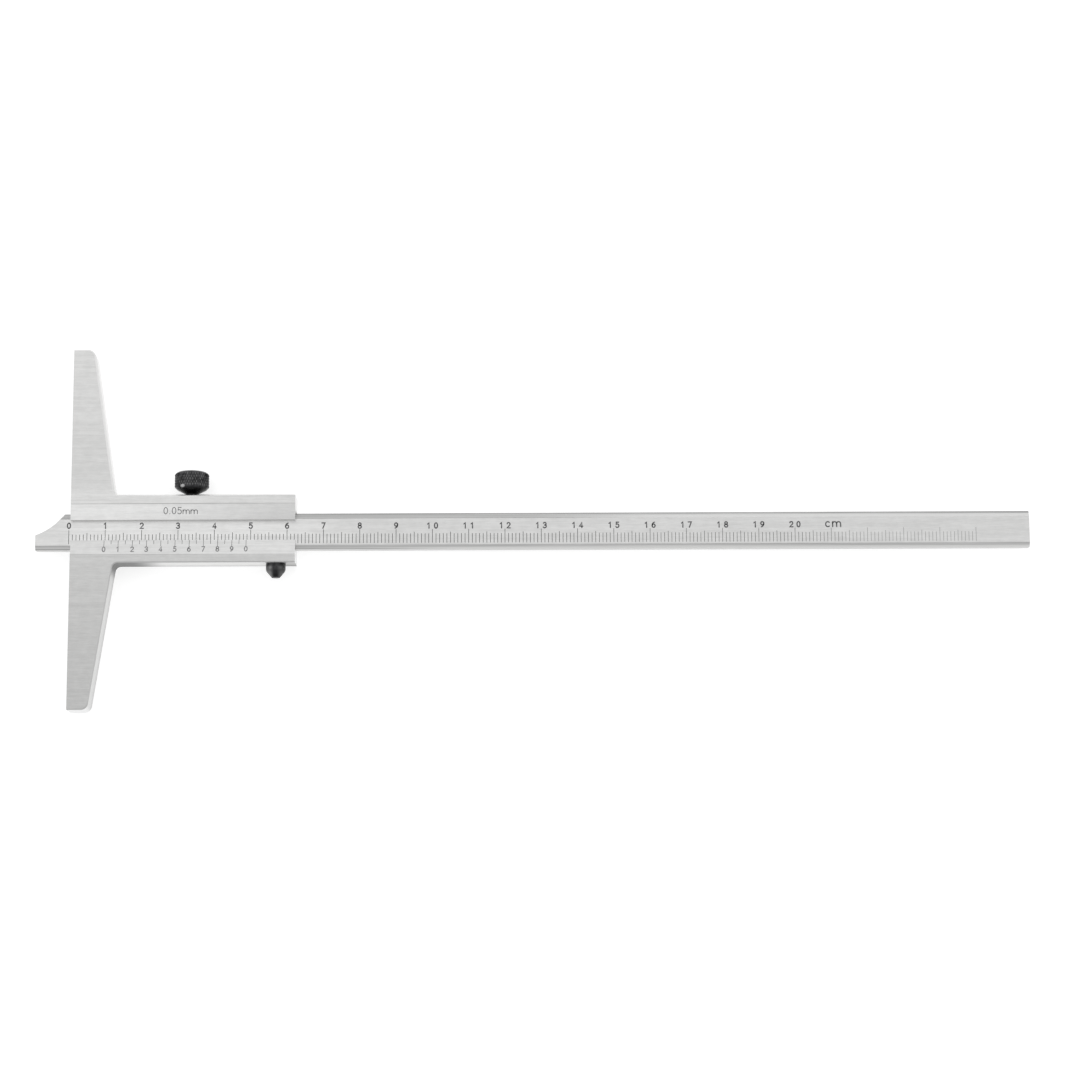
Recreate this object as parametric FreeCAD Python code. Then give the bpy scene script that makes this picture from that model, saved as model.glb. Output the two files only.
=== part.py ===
import FreeCAD
import Part
import math
import os

from FreeCAD import Vector

# Vernier depth gauge, in millimetres, lying on its back.
# X runs along the beam from the measuring face of the bridge, Y along the bridge, Z out of the front.

# Bridge and slider body
BRIDGE_LENGTH = 100.4
BRIDGE_CENTRE_Y = 0.25
BODY_THICKNESS = 8.0
WING_TIP_WIDTH = 5.6
WING_ROOT_WIDTH = 11.8
WING_TIP_RADIUS = 2.0
WING_ROOT_RADIUS = 1.6
BODY_EDGE_CHAMFER = 0.3
SLIDER_LENGTH = 61.7
BACK_WALL = 3.0
UPPER_SEAT = 1.78
LOWER_SEAT = 1.44
UPPER_RIM = 2.65
LOWER_RIM = 2.33

# Beam, as far out as the photographed reading
READING = 9.8
BEAM_WIDTH = 10.0
BEAM_THICKNESS = 3.5
BEAM_CENTRE_Y = -0.68
UPPER_BEVEL_WIDTH = 1.5
LOWER_BEVEL_WIDTH = 1.1
BEVEL_DEPTH = 0.7
TIP_FACE_WIDTH = 4.1
TIP_RELIEF_LENGTH = 7.95
TIP_RELIEF_RADIUS = 16.4

# Scale on the beam
ZERO_FROM_TIP = 9.2
SCALE_LENGTH = 250.0
TAIL_MARGIN = 14.8
TICK_WIDTH = 0.14
TICK_DEPTH = 0.08
TICK_MARGIN = 0.5
TICK_LENGTH = 2.65
TICK_LENGTH_5 = 3.1
TICK_LENGTH_10 = 3.85

# Strips that hold the beam in the channel
LIP_COVER = 1.92
VERNIER_COVER = 2.58
VERNIER_EDGE_THICKNESS = 0.3
VERNIER_DIVISIONS = 20
VERNIER_SPAN = 39.0
VERNIER_TICK_LENGTH = 1.17
VERNIER_TICK_LENGTH_LONG = 1.81

# Fits
SLIDE_CLEARANCE = 0.05
SCREW_CLEARANCE = 0.05
GIB_BACK_GAP = 0.1

# Gib strip and its two grub screws
GIB_THICKNESS = 0.55
GIB_END_GAP = 1.0
GIB_SCREW_BORE = 2.5
GIB_SCREW_LENGTH = 3.4
GIB_SCREW_FROM_WING = 4.6
GIB_SCREW_FROM_END = 14.0
GIB_SCREW_SLOT_WIDTH = 0.4
GIB_SCREW_SLOT_DEPTH = 0.6
GIB_SCREW_TIP_CHAMFER = 0.4

# Lock screw and the pad that it presses on the gib
LOCK_BORE = 3.0
LOCK_PAD_LENGTH = 1.5
LOCK_PAD_GAP = 0.15
LOCK_PAD_CHAMFER = 0.2
LOCK_TIP_GAP = 0.05
LOCK_NECK_DIAMETER = 3.6
LOCK_NECK_GAP = 0.5
LOCK_NECK_LENGTH = 0.1
LOCK_HEAD_DIAMETER = 9.5
LOCK_HEAD_HEIGHT = 6.15
LOCK_BASE_RISE = 1.15
LOCK_BASE_CHAMFER = 0.75
LOCK_HEAD_CROWN_RADIUS = 1.7
KNURL_PITCH = 0.75
KNURL_DEPTH = 0.2
KNURL_HELIX_ANGLE = 30.0

# Friction screw with its spring and plunger
FRICTION_FROM_END = 5.45
FRICTION_BORE = 3.0
FRICTION_HEAD_DIAMETER = 5.46
FRICTION_HEAD_HEIGHT = 3.9
FRICTION_END_DIAMETER = 2.2
FRICTION_DOME_RADIUS = 1.6
FRICTION_COLLAR = 2.0
FRICTION_SLOT_WIDTH = 0.6
FRICTION_SLOT_DEPTH = 0.8
FRICTION_SHANK_SETBACK = 0.85
FRICTION_HOLLOW = 1.7
PLUNGER_LENGTH = 2.45
SPRING_LENGTH = 3.3
SPRING_WIRE = 0.25
SPRING_TURNS = 5
SPRING_STEPS = 12
SPRING_SIDES = 6
SPRING_SIDE_GAP = 0.1
SPRING_END_GAP = 0.02
BORE_MOUTH_CHAMFER = 0.2

# How far cutting solids reach past the faces that they cut
OVERRUN = 1.0

# Heights above the back face
BEAM_BACK = BACK_WALL + SLIDE_CLEARANCE
BEAM_FRONT = BEAM_BACK + BEAM_THICKNESS
SCREW_AXIS_Z = BEAM_BACK + BEAM_THICKNESS / 2
STRIP_UNDERSIDE = BEAM_FRONT + SLIDE_CLEARANCE

# Places across the slider, from the beam outwards
BEAM_LOW = BEAM_CENTRE_Y - BEAM_WIDTH / 2
BEAM_HIGH = BEAM_CENTRE_Y + BEAM_WIDTH / 2
CHANNEL_LOW = BEAM_LOW - SLIDE_CLEARANCE
GIB_LOW = BEAM_HIGH + SLIDE_CLEARANCE
GIB_HIGH = GIB_LOW + GIB_THICKNESS
CHANNEL_HIGH = GIB_HIGH + GIB_BACK_GAP
REBATE_LOW = CHANNEL_LOW - LOWER_SEAT
REBATE_HIGH = CHANNEL_HIGH + UPPER_SEAT
SLIDER_LOW = REBATE_LOW - LOWER_RIM
SLIDER_HIGH = REBATE_HIGH + UPPER_RIM
LIP_EDGE = BEAM_HIGH - LIP_COVER
VERNIER_EDGE = BEAM_LOW + VERNIER_COVER

# Places along the slider
GIB_SCREW_LEFT_X = WING_ROOT_WIDTH + WING_ROOT_RADIUS + GIB_SCREW_FROM_WING
GIB_SCREW_RIGHT_X = SLIDER_LENGTH - GIB_SCREW_FROM_END
LOCK_X = (GIB_SCREW_LEFT_X + GIB_SCREW_RIGHT_X) / 2
FRICTION_X = SLIDER_LENGTH - FRICTION_FROM_END

# Places along the beam
TIP_X = -READING
BEAM_LENGTH = ZERO_FROM_TIP + SCALE_LENGTH + TAIL_MARGIN
SCALE_ZERO_X = TIP_X + ZERO_FROM_TIP
VERNIER_ZERO_X = ZERO_FROM_TIP

# Knurl divisions that come closest to the wanted pitch
KNURL_COUNT = round(math.pi * LOCK_HEAD_DIAMETER / KNURL_PITCH)
KNURL_RISE = KNURL_PITCH / math.tan(math.radians(KNURL_HELIX_ANGLE))
KNURL_RINGS = max(2, math.ceil(2 * (LOCK_HEAD_HEIGHT - LOCK_BASE_RISE) / KNURL_RISE))


def rounded_outline(corners):
    """Closed wire in the XY plane through (x, y, radius) corners, with an arc at each radius."""
    stretches = []
    for index, (x, y, radius) in enumerate(corners):
        corner = Vector(x, y, 0)
        before = Vector(*corners[index - 1][:2], 0)
        after = Vector(*corners[(index + 1) % len(corners)][:2], 0)
        to_before = (before - corner).normalize()
        to_after = (after - corner).normalize()
        if radius <= 0:
            stretches.append([corner])
            continue
        half_angle = to_before.getAngle(to_after) / 2
        tangent = radius / math.tan(half_angle)
        middle = (to_before + to_after).normalize() * (radius / math.sin(half_angle) - radius)
        stretches.append([corner + to_before * tangent, corner + middle, corner + to_after * tangent])
    edges = []
    for index, stretch in enumerate(stretches):
        if len(stretch) == 3:
            edges.append(Part.Arc(*stretch).toShape())
        start = stretch[-1]
        end = stretches[(index + 1) % len(stretches)][0]
        edges.append(Part.LineSegment(start, end).toShape())
    return Part.Wire(edges)


def plate(corners, thickness):
    """Flat plate on the XY plane with a rounded outline."""
    return Part.Face(rounded_outline(corners)).extrude(Vector(0, 0, thickness))


def bar(section, start, length):
    """Bar along X with the given (y, z) section."""
    points = [Vector(start, y, z) for y, z in section]
    return Part.Face(Part.makePolygon(points + points[:1])).extrude(Vector(length, 0, 0))


def turned(corners, x, z=SCREW_AXIS_Z):
    """Turned piece about the line along Y at x and z, from (radius, y, corner radius) corners."""
    profile = Part.Face(rounded_outline(corners))
    piece = profile.revolve(Vector(0, 0, 0), Vector(0, 1, 0), 360)
    piece.translate(Vector(x, 0, z))
    return piece


def box_between(low, high):
    """Box between two opposite corners."""
    size = [b - a for a, b in zip(low, high)]
    return Part.makeBox(*size, Vector(*low))


def bore(x, diameter, inner, mouth):
    """Cutting solid of a bore along Y, with a small chamfer at its mouth."""
    radius = diameter / 2
    outward = math.copysign(1, mouth - inner)
    corners = [
        (0, inner - outward * OVERRUN, 0),
        (radius, inner - outward * OVERRUN, 0),
        (radius, mouth - outward * BORE_MOUTH_CHAMFER, 0),
        (radius + BORE_MOUTH_CHAMFER, mouth, 0),
        (radius + BORE_MOUTH_CHAMFER, mouth + outward * OVERRUN, 0),
        (0, mouth + outward * OVERRUN, 0),
    ]
    return turned(corners, x)


def outline_edges(body):
    """Front and back edges of the body, without those on its measuring face and slider end."""
    edges = []
    for edge in body.Edges:
        box = edge.BoundBox
        flat = box.ZLength < 1e-6
        square_end = box.XLength < 1e-6 and (box.XMin < 1e-6 or box.XMax > SLIDER_LENGTH - 1e-6)
        if flat and not square_end:
            edges.append(edge)
    return edges


def bridge_body():
    """T-shaped body: two tapered wings and the slider with its channel and strip rebate."""
    low_end = BRIDGE_CENTRE_Y - BRIDGE_LENGTH / 2
    high_end = BRIDGE_CENTRE_Y + BRIDGE_LENGTH / 2
    corners = [
        (0, low_end, 0),
        (WING_TIP_WIDTH, low_end, WING_TIP_RADIUS),
        (WING_ROOT_WIDTH, SLIDER_LOW, WING_ROOT_RADIUS),
        (SLIDER_LENGTH, SLIDER_LOW, 0),
        (SLIDER_LENGTH, SLIDER_HIGH, 0),
        (WING_ROOT_WIDTH, SLIDER_HIGH, WING_ROOT_RADIUS),
        (WING_TIP_WIDTH, high_end, WING_TIP_RADIUS),
        (0, high_end, 0),
    ]
    body = plate(corners, BODY_THICKNESS)
    body = body.makeChamfer(BODY_EDGE_CHAMFER, outline_edges(body))
    start = -OVERRUN
    end = SLIDER_LENGTH + OVERRUN
    front = BODY_THICKNESS + OVERRUN
    channel = box_between((start, CHANNEL_LOW, BACK_WALL), (end, CHANNEL_HIGH, front))
    rebate = box_between((start, REBATE_LOW, STRIP_UNDERSIDE), (end, REBATE_HIGH, front))
    cuts = [channel, rebate, bore(LOCK_X, LOCK_BORE, CHANNEL_HIGH, SLIDER_HIGH)]
    cuts.append(bore(FRICTION_X, FRICTION_BORE, CHANNEL_LOW, SLIDER_LOW))
    for x in (GIB_SCREW_LEFT_X, GIB_SCREW_RIGHT_X):
        cuts.append(bore(x, GIB_SCREW_BORE, CHANNEL_HIGH, SLIDER_HIGH))
    return body.cut(cuts)


def upper_guide_strip():
    """Plain strip that covers the beam's upper edge, with a square lip."""
    low = (0, LIP_EDGE, STRIP_UNDERSIDE)
    return box_between(low, (SLIDER_LENGTH, REBATE_HIGH, BODY_THICKNESS))


def vernier_face(y):
    """Height of the slanted vernier face at y."""
    edge_height = STRIP_UNDERSIDE + VERNIER_EDGE_THICKNESS
    slope = (BODY_THICKNESS - edge_height) / (VERNIER_EDGE - REBATE_LOW)
    return edge_height + slope * (VERNIER_EDGE - y)


def vernier_tick(index):
    """Cutting solid of one vernier division, open at the thin edge of the strip."""
    length = VERNIER_TICK_LENGTH if index % 2 else VERNIER_TICK_LENGTH_LONG
    x = VERNIER_ZERO_X + index * VERNIER_SPAN / VERNIER_DIVISIONS
    outer = VERNIER_EDGE + OVERRUN
    inner = VERNIER_EDGE - length
    section = [
        (outer, vernier_face(outer) - TICK_DEPTH),
        (inner, vernier_face(inner) - TICK_DEPTH),
        (inner, vernier_face(inner) + OVERRUN),
        (outer, vernier_face(outer) + OVERRUN),
    ]
    return bar(section, x - TICK_WIDTH / 2, TICK_WIDTH)


def vernier_strip():
    """Strip that covers the beam's lower edge and thins to the vernier's reading edge."""
    section = [
        (VERNIER_EDGE, STRIP_UNDERSIDE),
        (VERNIER_EDGE, vernier_face(VERNIER_EDGE)),
        (REBATE_LOW, BODY_THICKNESS),
        (REBATE_LOW, STRIP_UNDERSIDE),
    ]
    strip = bar(section, 0, SLIDER_LENGTH)
    return strip.cut([vernier_tick(index) for index in range(VERNIER_DIVISIONS + 1)])


def scale_tick(index):
    """Cutting solid of one millimetre mark, longer at every fifth and tenth."""
    length = TICK_LENGTH
    if index % 5 == 0:
        length = TICK_LENGTH_5
    if index % 10 == 0:
        length = TICK_LENGTH_10
    x = SCALE_ZERO_X + index
    foot = BEAM_LOW + LOWER_BEVEL_WIDTH + TICK_MARGIN
    low = (x - TICK_WIDTH / 2, foot, BEAM_FRONT - TICK_DEPTH)
    return box_between(low, (x + TICK_WIDTH / 2, foot + length, BEAM_FRONT + OVERRUN))


def tip_relief():
    """Cutting solid of the hollow curve that narrows the beam to its measuring end."""
    start = Vector(TIP_X, BEAM_LOW + TIP_FACE_WIDTH, 0)
    end = Vector(TIP_X + TIP_RELIEF_LENGTH, BEAM_HIGH, 0)
    chord = end - start
    inward = Vector(chord.y, -chord.x, 0).normalize()
    half = chord.Length / 2
    sag = TIP_RELIEF_RADIUS - math.sqrt(TIP_RELIEF_RADIUS**2 - half**2)
    curve = Part.Arc(start, (start + end) / 2 + inward * sag, end).toShape()
    outer = [
        end,
        Vector(end.x, BEAM_HIGH + OVERRUN, 0),
        Vector(TIP_X - OVERRUN, BEAM_HIGH + OVERRUN, 0),
        Vector(TIP_X - OVERRUN, start.y, 0),
        start,
    ]
    outline = Part.Wire([curve, Part.makePolygon(outer)])
    relief = Part.Face(outline).extrude(Vector(0, 0, BODY_THICKNESS))
    return relief


def beam():
    """Graduated beam with bevelled front edges and a relieved measuring end."""
    section = [
        (BEAM_LOW, BEAM_BACK),
        (BEAM_LOW, BEAM_FRONT - BEVEL_DEPTH),
        (BEAM_LOW + LOWER_BEVEL_WIDTH, BEAM_FRONT),
        (BEAM_HIGH - UPPER_BEVEL_WIDTH, BEAM_FRONT),
        (BEAM_HIGH, BEAM_FRONT - BEVEL_DEPTH),
        (BEAM_HIGH, BEAM_BACK),
    ]
    blank = bar(section, TIP_X, BEAM_LENGTH).cut(tip_relief())
    return blank.cut([scale_tick(index) for index in range(math.floor(SCALE_LENGTH) + 1)])


def gib_strip():
    """Thin bronze strip that takes up play between the beam and the channel wall."""
    low = (GIB_END_GAP, GIB_LOW, BACK_WALL + SLIDE_CLEARANCE)
    return box_between(low, (SLIDER_LENGTH - GIB_END_GAP, GIB_HIGH, STRIP_UNDERSIDE - SLIDE_CLEARANCE))


def gib_screw(x):
    """Slotted grub screw with a tapered tip that sets on the gib strip."""
    radius = GIB_SCREW_BORE / 2 - SCREW_CLEARANCE
    top = GIB_HIGH + GIB_SCREW_LENGTH
    corners = [
        (0, GIB_HIGH, 0),
        (radius - GIB_SCREW_TIP_CHAMFER, GIB_HIGH, 0),
        (radius, GIB_HIGH + GIB_SCREW_TIP_CHAMFER, 0),
        (radius, top, 0),
        (0, top, 0),
    ]
    half_slot = GIB_SCREW_SLOT_WIDTH / 2
    low = (x - OVERRUN - radius, top - GIB_SCREW_SLOT_DEPTH, SCREW_AXIS_Z - half_slot)
    high = (x + OVERRUN + radius, top + OVERRUN, SCREW_AXIS_Z + half_slot)
    return turned(corners, x).cut(box_between(low, high))


def lock_pad():
    """Brass slug in the lock screw's bore, just clear of the gib strip."""
    radius = LOCK_BORE / 2 - SCREW_CLEARANCE
    low = GIB_HIGH + LOCK_PAD_GAP
    high = low + LOCK_PAD_LENGTH
    corners = [
        (0, low, 0),
        (radius - LOCK_PAD_CHAMFER, low, 0),
        (radius, low + LOCK_PAD_CHAMFER, 0),
        (radius, high - LOCK_PAD_CHAMFER, 0),
        (radius - LOCK_PAD_CHAMFER, high, 0),
        (0, high, 0),
    ]
    return turned(corners, LOCK_X)


def knurled_drum(radius, low, height):
    """Drum about Y whose wall is a lattice of pyramids: a point out at every diamond's centre."""
    steps = 2 * KNURL_COUNT

    def lattice_point(step, ring):
        reach = radius if (step + ring) % 2 == 0 else radius - KNURL_DEPTH
        angle = 2 * math.pi * (step % steps) / steps
        return Vector(reach * math.sin(angle), low + height * ring / KNURL_RINGS, reach * math.cos(angle))

    def triangle(*points):
        return Part.Face(Part.makePolygon([*points, points[0]]))

    faces = []
    for ring in (0, KNURL_RINGS):
        rim = [lattice_point(step, ring) for step in range(steps)]
        faces.append(Part.Face(Part.makePolygon(rim + rim[:1])))
    for ring in range(KNURL_RINGS):
        for step in range(steps):
            near = lattice_point(step, ring)
            along = lattice_point(step + 1, ring)
            above = lattice_point(step, ring + 1)
            across = lattice_point(step + 1, ring + 1)
            if (step + ring) % 2 == 0:
                faces.append(triangle(near, along, above))
                faces.append(triangle(across, above, along))
            else:
                faces.append(triangle(near, along, across))
                faces.append(triangle(near, across, above))
    shell = Part.makeShell(faces)
    shell.sewShape()
    return Part.makeSolid(shell)


def lock_screw():
    """Knurled thumb screw: crowned head on a coned base, short neck and plain stem, one piece."""
    stem_radius = LOCK_BORE / 2 - SCREW_CLEARANCE
    tip = GIB_HIGH + LOCK_PAD_GAP + LOCK_PAD_LENGTH + LOCK_TIP_GAP
    neck_low = SLIDER_HIGH + LOCK_NECK_GAP
    head_low = neck_low + LOCK_NECK_LENGTH
    base_high = head_low + LOCK_BASE_RISE
    head_high = head_low + LOCK_HEAD_HEIGHT
    head_radius = LOCK_HEAD_DIAMETER / 2
    # The turned blank stands a little outside the knurl, so that only its ends trim the pattern
    blank_radius = head_radius + KNURL_DEPTH
    blank = turned(
        [
            (0, base_high, 0),
            (head_radius - LOCK_BASE_CHAMFER, base_high, 0),
            (blank_radius, base_high + LOCK_BASE_CHAMFER + KNURL_DEPTH, 0),
            (blank_radius, head_high, LOCK_HEAD_CROWN_RADIUS),
            (0, head_high, 0),
        ],
        LOCK_X,
    )
    drum = knurled_drum(head_radius, base_high - OVERRUN / 2, head_high - base_high + OVERRUN)
    drum.translate(Vector(LOCK_X, 0, SCREW_AXIS_Z))
    stem = turned(
        [
            (0, tip, 0),
            (stem_radius, tip, 0),
            (stem_radius, neck_low, 0),
            (LOCK_NECK_DIAMETER / 2, neck_low, 0),
            (LOCK_NECK_DIAMETER / 2, head_low, 0),
            (head_radius - LOCK_BASE_CHAMFER, base_high, 0),
            (0, base_high, 0),
        ],
        LOCK_X,
    )
    return blank.common(drum).fuse(stem).removeSplitter()


def friction_end():
    """Where the plunger, the spring and the hollow of the friction screw end, going out from the beam."""
    plunger = CHANNEL_LOW - PLUNGER_LENGTH
    return plunger, plunger - SPRING_LENGTH


def friction_screw():
    """Domed and slotted screw with a hollow shank for its spring and plunger."""
    radius = FRICTION_HEAD_DIAMETER / 2
    shank_radius = FRICTION_BORE / 2 - SCREW_CLEARANCE
    hollow_radius = FRICTION_HOLLOW / 2
    shank_end = CHANNEL_LOW - FRICTION_SHANK_SETBACK
    hollow_end = friction_end()[1]
    head_end = SLIDER_LOW - FRICTION_HEAD_HEIGHT
    corners = [
        (hollow_radius, shank_end, 0),
        (shank_radius, shank_end, 0),
        (shank_radius, SLIDER_LOW, 0),
        (radius, SLIDER_LOW, 0),
        (radius, SLIDER_LOW - FRICTION_COLLAR, FRICTION_DOME_RADIUS),
        (FRICTION_END_DIAMETER / 2, head_end, 0),
        (0, head_end, 0),
        (0, hollow_end, 0),
        (hollow_radius, hollow_end, 0),
    ]
    half_slot = FRICTION_SLOT_WIDTH / 2
    low = (FRICTION_X - FRICTION_HEAD_DIAMETER, head_end - OVERRUN, SCREW_AXIS_Z - half_slot)
    high = (FRICTION_X + FRICTION_HEAD_DIAMETER, head_end + FRICTION_SLOT_DEPTH, SCREW_AXIS_Z + half_slot)
    return turned(corners, FRICTION_X).cut(box_between(low, high))


def friction_spring():
    """Small coil spring between the bottom of the hollow and the plunger."""
    inner, outer = friction_end()
    wire_radius = SPRING_WIRE / 2
    coil_radius = FRICTION_HOLLOW / 2 - SPRING_SIDE_GAP - wire_radius
    start = inner - SPRING_END_GAP - wire_radius
    end = outer + SPRING_END_GAP + wire_radius
    steps = SPRING_TURNS * SPRING_STEPS

    def wire_section(step):
        turn = 2 * math.pi * step / SPRING_STEPS
        y = start + (end - start) * step / steps
        points = []
        for side in range(SPRING_SIDES):
            angle = 2 * math.pi * side / SPRING_SIDES
            reach = coil_radius + wire_radius * math.cos(angle)
            height = y + wire_radius * math.sin(angle)
            points.append(Vector(reach * math.cos(turn), height, reach * math.sin(turn)))
        return Part.makePolygon(points + points[:1])

    spring = Part.makeLoft([wire_section(step) for step in range(steps + 1)], True, True)
    spring.translate(Vector(FRICTION_X, 0, SCREW_AXIS_Z))
    return spring


def friction_plunger():
    """Brass plunger that the spring holds against the lower edge of the beam."""
    radius = FRICTION_HOLLOW / 2 - SCREW_CLEARANCE
    inner = friction_end()[0]
    corners = [(0, inner, 0), (radius, inner, 0), (radius, CHANNEL_LOW, 0), (0, CHANNEL_LOW, 0)]
    return turned(corners, FRICTION_X)


def depth_gauge():
    """Every piece of the gauge by name."""
    return {
        "beam": beam(),
        "bridge_body": bridge_body(),
        "upper_guide_strip": upper_guide_strip(),
        "vernier_strip": vernier_strip(),
        "gib_strip": gib_strip(),
        "lock_pad": lock_pad(),
        "lock_screw": lock_screw(),
        "friction_screw": friction_screw(),
        "friction_spring": friction_spring(),
        "friction_plunger": friction_plunger(),
        "gib_screw_left": gib_screw(GIB_SCREW_LEFT_X),
        "gib_screw_right": gib_screw(GIB_SCREW_RIGHT_X),
    }


def main():
    os.makedirs("parts", exist_ok=True)
    for name, piece in depth_gauge().items():
        if len(piece.Solids) != 1 or not piece.isValid():
            raise ValueError(f"{name} is not one valid solid")
        piece.Solids[0].exportStep(f"parts/{name}.step")
        print(f"{name}: volume {piece.Volume:.2f} mm3, {len(piece.Faces)} faces")


main()
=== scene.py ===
"""Vernier depth gauge: finishes, inked figures, floor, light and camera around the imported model."""

import math

import bmesh
import bpy
from mathutils import Matrix, Vector


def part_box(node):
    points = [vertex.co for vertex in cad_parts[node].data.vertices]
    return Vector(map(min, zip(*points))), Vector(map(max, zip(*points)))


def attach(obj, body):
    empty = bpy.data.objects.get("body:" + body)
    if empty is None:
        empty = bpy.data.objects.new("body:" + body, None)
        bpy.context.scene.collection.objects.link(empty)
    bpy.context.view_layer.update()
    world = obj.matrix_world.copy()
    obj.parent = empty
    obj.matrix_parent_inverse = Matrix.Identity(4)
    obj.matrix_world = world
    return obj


bl_info = {
    "name": "Vernier depth gauge",
    "version": (1, 0, 0),
    "blender": (4, 5, 0),
    "location": "3D View > Sidebar > Gauge",
    "description": "Finishes, figures and stage of a vernier depth gauge",
    "category": "Object",
}

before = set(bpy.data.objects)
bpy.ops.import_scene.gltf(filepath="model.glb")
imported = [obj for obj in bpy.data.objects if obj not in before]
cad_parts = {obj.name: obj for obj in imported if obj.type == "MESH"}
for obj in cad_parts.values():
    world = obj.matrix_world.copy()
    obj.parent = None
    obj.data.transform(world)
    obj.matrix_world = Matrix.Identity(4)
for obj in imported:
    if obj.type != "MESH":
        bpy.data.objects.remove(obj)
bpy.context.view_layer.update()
MM = 0.001

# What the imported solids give, in millimetres
BEAM_LOW, BEAM_HIGH = [[value / MM for value in corner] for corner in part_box("beam")]
BODY_LOW, BODY_HIGH = [[value / MM for value in corner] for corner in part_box("bridge_body")]
LIP_LOW, LIP_HIGH = [[value / MM for value in corner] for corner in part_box("upper_guide_strip")]
VERNIER_LOW, VERNIER_HIGH = [[value / MM for value in corner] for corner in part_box("vernier_strip")]
LOCK_LOW, LOCK_HIGH = [[value / MM for value in corner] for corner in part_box("lock_screw")]
FRICTION_LOW, FRICTION_HIGH = [[value / MM for value in corner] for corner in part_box("friction_screw")]

# Where marks, figures, bevels and edges lie on the solids, in millimetres
ZERO_FROM_TIP = 9.2
SCALE_ZERO_X = BEAM_LOW[0] + ZERO_FROM_TIP
SCALE_LENGTH = 250.0
SCALE_END_X = SCALE_ZERO_X + SCALE_LENGTH
SCALE_FOOT = BEAM_LOW[1] + 1.6
SCALE_TOP = SCALE_FOOT + 3.85
MARK_DEPTH = 0.08
BEVEL_LOW = 1.1
BEVEL_HIGH = 1.5
BEVEL_REACH = 0.75
VERNIER_EDGE_RISE = 0.3
VERNIER_STEP = 1.95
SLIDER_SIDE = 9.5
SLIDER_END = LIP_HIGH[0]
INNER_CORNER_X = 13.0
LAST_FIGURE = 20
UNIT_SHIFT = 0.55
FIGURE_GAP = 0.06
FIGURE_RISE = 0.3  # of the zero's figure
FIGURE_FALL = 0.03  # from each centimetre's figure to the next
VERNIER_FIGURE_FOOT = VERNIER_LOW[1] + 0.78
NOTE_X = 30.2
NOTE_FOOT = LIP_LOW[1] + 1.6

# How deep grain and patches look in the metal, in metres
GRAIN_DEPTH = 0.004 * MM
PATCH_DEPTH = 0.01 * MM


def vernier_face(y):
    """Height in millimetres of the slanted vernier face at y, a number or a shader value."""
    edge = VERNIER_LOW[2] + VERNIER_EDGE_RISE
    slope = (VERNIER_HIGH[2] - edge) / (VERNIER_HIGH[1] - VERNIER_LOW[1])
    return edge + slope * (VERNIER_HIGH[1] - y)


class GaugeLook(bpy.types.PropertyGroup):
    """Sizes and colours of the gauge's figures and finishes."""

    figure_height: bpy.props.FloatProperty(
        name="Beam figure height",
        description="Height of the centimetre figures, in mm",
        default=1.48,
    )
    figure_stroke: bpy.props.FloatProperty(
        name="Beam figure stroke",
        description="Width of a stroke of the beam figures, in mm",
        default=0.34,
    )
    vernier_height: bpy.props.FloatProperty(
        name="Vernier figure height",
        description="Height of the vernier figures, in mm",
        default=1.33,
    )
    vernier_stroke: bpy.props.FloatProperty(
        name="Vernier figure stroke",
        description="Width of a stroke of the vernier figures, in mm",
        default=0.27,
    )
    note_height: bpy.props.FloatProperty(
        name="Reading note height",
        description="Height of the reading note on the upper strip, in mm",
        default=1.8,
    )
    note_stroke: bpy.props.FloatProperty(
        name="Reading note stroke",
        description="Width of a stroke of the reading note, in mm",
        default=0.21,
    )
    ground_steel: bpy.props.FloatVectorProperty(
        name="Ground steel",
        description="Bridge and slider",
        subtype="COLOR",
        default=(0.6, 0.6, 0.595),
    )
    beam_steel: bpy.props.FloatVectorProperty(
        name="Beam steel",
        description="Graduated beam",
        subtype="COLOR",
        default=(0.66, 0.66, 0.655),
    )
    strip_steel: bpy.props.FloatVectorProperty(
        name="Strip steel",
        description="Satin strips beside the window",
        subtype="COLOR",
        default=(0.72, 0.72, 0.715),
    )
    screw_steel: bpy.props.FloatVectorProperty(
        name="Screw steel",
        description="Gib screws and spring",
        subtype="COLOR",
        default=(0.42, 0.42, 0.42),
    )
    black_oxide: bpy.props.FloatVectorProperty(
        name="Black oxide",
        description="Lock and friction screws",
        subtype="COLOR",
        default=(0.018, 0.018, 0.019),
    )
    bronze: bpy.props.FloatVectorProperty(
        name="Bronze",
        description="Gib strip, pad and plunger",
        subtype="COLOR",
        default=(0.55, 0.36, 0.17),
    )
    ink: bpy.props.FloatVectorProperty(
        name="Ink",
        description="Engraved marks and figures",
        subtype="COLOR",
        default=(0.012, 0.012, 0.013),
    )
    floor: bpy.props.FloatVectorProperty(
        name="Floor",
        description="Pale floor under the gauge",
        subtype="COLOR",
        default=(0.45, 0.45, 0.45),
    )
    dome_strength: bpy.props.FloatProperty(
        name="Dome strength",
        description="Brightness of the soft light all round",
        default=0.82,
    )
    softbox_power: bpy.props.FloatProperty(
        name="Softbox power",
        description="Power of the broad softbox overhead",
        subtype="POWER",
        default=1.7,
    )
    key_power: bpy.props.FloatProperty(
        name="Key power",
        description="Power of the card of light on the left",
        subtype="POWER",
        default=0.8,
    )


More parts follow.
